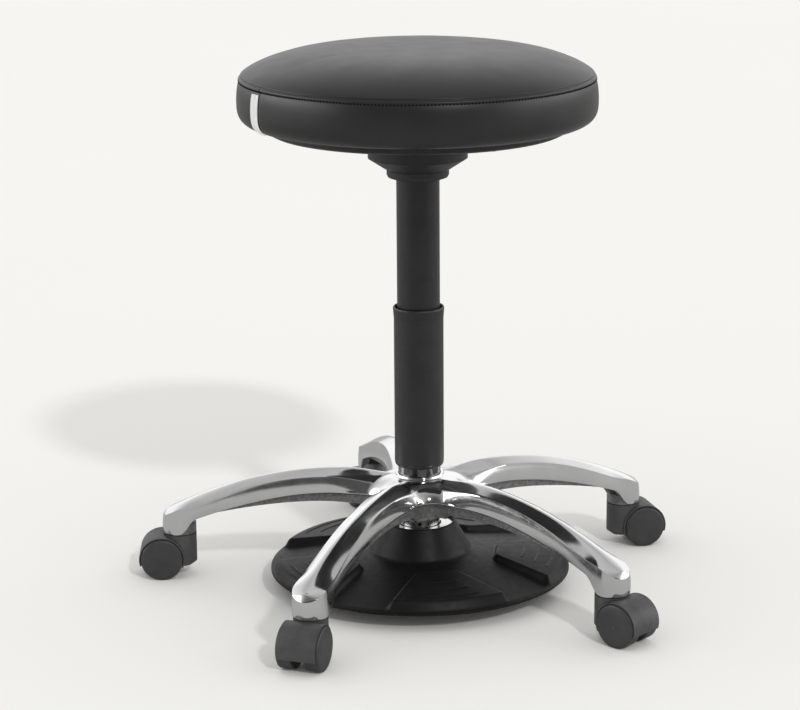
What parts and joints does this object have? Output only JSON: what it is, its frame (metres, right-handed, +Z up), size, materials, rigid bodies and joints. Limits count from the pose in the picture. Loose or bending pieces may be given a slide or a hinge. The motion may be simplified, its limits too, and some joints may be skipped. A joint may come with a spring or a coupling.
{
  "type": "dentist stool",
  "caption": "Low round padded clinic stool on a polished star base with casters, its gas column released by a foot disc under the hub.",
  "frame": {"origin": "on the floor under the axis of the column", "axes": "+Z up the column; one arm points along +Y and the pedal pad between the two nearest arms faces -Y"},
  "size_m": [0.6546, 0.6311, 0.641],
  "materials": {
    "polished_aluminium": "polished",
    "dark_steel": "satin",
    "bright_steel": "polished",
    "turned_steel": "satin",
    "black_oxide_steel": "satin",
    "black_powder_coat": "satin",
    "black_plastic": "matte",
    "disc_plastic": "matte",
    "caster_plastic": "matte",
    "wheel_nylon": "matte",
    "natural_nylon": "satin",
    "brass": "satin",
    "black_rubber": "matte",
    "plywood": "matte",
    "foam": "matte",
    "black_leatherette": "satin",
    "white_tag": "matte",
    "black_thread": "matte"
  },
  "bodies": {
    "base": {"star_base": "polished_aluminium", "hub_adapter": "dark_steel", "dust_sleeve": "black_plastic", "pressure_tube": "bright_steel", "valve_body": "brass", "rod_guide": "turned_steel", "rod_seal": "black_rubber", "hanger_ring": "turned_steel", "pusher_guide": "natural_nylon", "set_screw": "black_oxide_steel", "stop_pin": "black_oxide_steel", "caster_stems": "turned_steel", "stem_grip_rings": "turned_steel"},
    "release_pin": {"release_pin": "bright_steel"},
    "pusher": {"pusher": "natural_nylon"},
    "rocker": {"rocker_ring": "black_rubber"},
    "foot_control": {"foot_disc": "disc_plastic", "disc_plate": "bright_steel", "bridge_cup": "turned_steel", "plate_screws": "turned_steel"},
    "lift": {"piston_rod": "bright_steel", "piston": "turned_steel", "lower_race": "turned_steel", "bumper": "black_rubber", "retaining_clip": "turned_steel"},
    "bearing_cage": {"ball_cage": "brass", "bearing_balls": "bright_steel"},
    "seat": {"upper_race": "turned_steel", "standpipe": "black_powder_coat", "guide_bush": "natural_nylon", "seat_plate": "black_powder_coat", "plate_bolts": "turned_steel", "t_nuts": "turned_steel", "seat_board": "plywood", "under_pan": "black_plastic", "pan_screws": "turned_steel", "bell_cover": "black_plastic", "cushion_foam": "foam", "seat_cover": "black_leatherette"},
    "caster_1": {"caster_1_housing": "caster_plastic", "caster_1_axle": "turned_steel"},
    "caster_1_left": {"caster_1_left_wheel": "wheel_nylon"},
    "caster_1_right": {"caster_1_right_wheel": "wheel_nylon"},
    "caster_2": {"caster_2_housing": "caster_plastic", "caster_2_axle": "turned_steel"},
    "caster_2_left": {"caster_2_left_wheel": "wheel_nylon"},
    "caster_2_right": {"caster_2_right_wheel": "wheel_nylon"},
    "caster_3": {"caster_3_housing": "caster_plastic", "caster_3_axle": "turned_steel"},
    "caster_3_left": {"caster_3_left_wheel": "wheel_nylon"},
    "caster_3_right": {"caster_3_right_wheel": "wheel_nylon"},
    "caster_4": {"caster_4_housing": "caster_plastic", "caster_4_axle": "turned_steel"},
    "caster_4_left": {"caster_4_left_wheel": "wheel_nylon"},
    "caster_4_right": {"caster_4_right_wheel": "wheel_nylon"},
    "caster_5": {"caster_5_housing": "caster_plastic", "caster_5_axle": "turned_steel"},
    "caster_5_left": {"caster_5_left_wheel": "wheel_nylon"},
    "caster_5_right": {"caster_5_right_wheel": "wheel_nylon"}
  },
  "joints": [
    {"name": "seat_height", "type": "slide", "parent": "base", "child": "lift", "axis": [0, 0, 1], "range_m": [-0.105, 0.035]},
    {"name": "seat_swivel", "type": "hinge", "parent": "lift", "child": "seat", "pos_m": [0, 0, 0.52], "axis": [0, 0, 1], "continuous": true},
    {"name": "bearing_cage_spin", "type": "hinge", "parent": "lift", "child": "bearing_cage", "pos_m": [0, 0, 0.525], "axis": [0, 0, 1], "continuous": true},
    {"name": "disc_lift", "type": "slide", "parent": "base", "child": "pusher", "axis": [0, 0, 1], "range_m": [0, 0.002], "stiffness_N_per_m": 6000, "springref_m": -0.002},
    {"name": "pin_press", "type": "slide", "parent": "base", "child": "release_pin", "axis": [0, 0, 1], "range_m": [0, 0.002]},
    {"name": "disc_tip_front_back", "type": "hinge", "parent": "pusher", "child": "rocker", "pos_m": [0, 0, 0.0725], "axis": [1, 0, 0], "range_deg": [-3.5, 3.5], "stiffness_Nm_per_rad": 12, "deforming": ["rocker_ring"]},
    {"name": "disc_tip_left_right", "type": "hinge", "parent": "rocker", "child": "foot_control", "pos_m": [0, 0, 0.0725], "axis": [0, 1, 0], "range_deg": [-3.5, 3.5], "stiffness_Nm_per_rad": 12},
    {"name": "caster_1_swivel", "type": "hinge", "parent": "base", "child": "caster_1", "pos_m": [0.27581, 0.08962, 0.05], "axis": [0, 0, 1], "continuous": true},
    {"name": "caster_1_left_roll", "type": "hinge", "parent": "caster_1", "child": "caster_1_left", "pos_m": [0.29775, 0.09115, 0.025], "axis": [-0.0698, 0.9976, 0], "continuous": true},
    {"name": "caster_1_right_roll", "type": "hinge", "parent": "caster_1", "child": "caster_1_right", "pos_m": [0.29775, 0.09115, 0.025], "axis": [-0.0698, 0.9976, 0], "continuous": true},
    {"name": "caster_2_swivel", "type": "hinge", "parent": "base", "child": "caster_2", "pos_m": [0, 0.29, 0.05], "axis": [0, 0, 1], "continuous": true},
    {"name": "caster_2_left_roll", "type": "hinge", "parent": "caster_2", "child": "caster_2_left", "pos_m": [-0.00382, 0.31167, 0.025], "axis": [-0.9848, -0.1736, 0], "continuous": true},
    {"name": "caster_2_right_roll", "type": "hinge", "parent": "caster_2", "child": "caster_2_right", "pos_m": [-0.00382, 0.31167, 0.025], "axis": [-0.9848, -0.1736, 0], "continuous": true},
    {"name": "caster_3_swivel", "type": "hinge", "parent": "base", "child": "caster_3", "pos_m": [-0.27581, 0.08962, 0.05], "axis": [0, 0, 1], "continuous": true},
    {"name": "caster_3_left_roll", "type": "hinge", "parent": "caster_3", "child": "caster_3_left", "pos_m": [-0.29754, 0.09306, 0.025], "axis": [-0.1564, -0.9877, 0], "continuous": true},
    {"name": "caster_3_right_roll", "type": "hinge", "parent": "caster_3", "child": "caster_3_right", "pos_m": [-0.29754, 0.09306, 0.025], "axis": [-0.1564, -0.9877, 0], "continuous": true},
    {"name": "caster_4_swivel", "type": "hinge", "parent": "base", "child": "caster_4", "pos_m": [-0.17046, -0.23461, 0.05], "axis": [0, 0, 1], "continuous": true},
    {"name": "caster_4_left_roll", "type": "hinge", "parent": "caster_4", "child": "caster_4_left", "pos_m": [-0.18146, -0.25367, 0.025], "axis": [0.866, -0.5, 0], "continuous": true},
    {"name": "caster_4_right_roll", "type": "hinge", "parent": "caster_4", "child": "caster_4_right", "pos_m": [-0.18146, -0.25367, 0.025], "axis": [0.866, -0.5, 0], "continuous": true},
    {"name": "caster_5_swivel", "type": "hinge", "parent": "base", "child": "caster_5", "pos_m": [0.17046, -0.23461, 0.05], "axis": [0, 0, 1], "continuous": true},
    {"name": "caster_5_left_roll", "type": "hinge", "parent": "caster_5", "child": "caster_5_left", "pos_m": [0.18354, -0.2523, 0.025], "axis": [0.8039, 0.5948, 0], "continuous": true},
    {"name": "caster_5_right_roll", "type": "hinge", "parent": "caster_5", "child": "caster_5_right", "pos_m": [0.18354, -0.2523, 0.025], "axis": [0.8039, 0.5948, 0], "continuous": true}
  ],
  "couplings": [
    {"joint": "bearing_cage_spin", "follows": "seat_swivel", "ratio": 0.5},
    {"joint": "pin_press", "follows": "disc_lift", "ratio": 1}
  ]
}
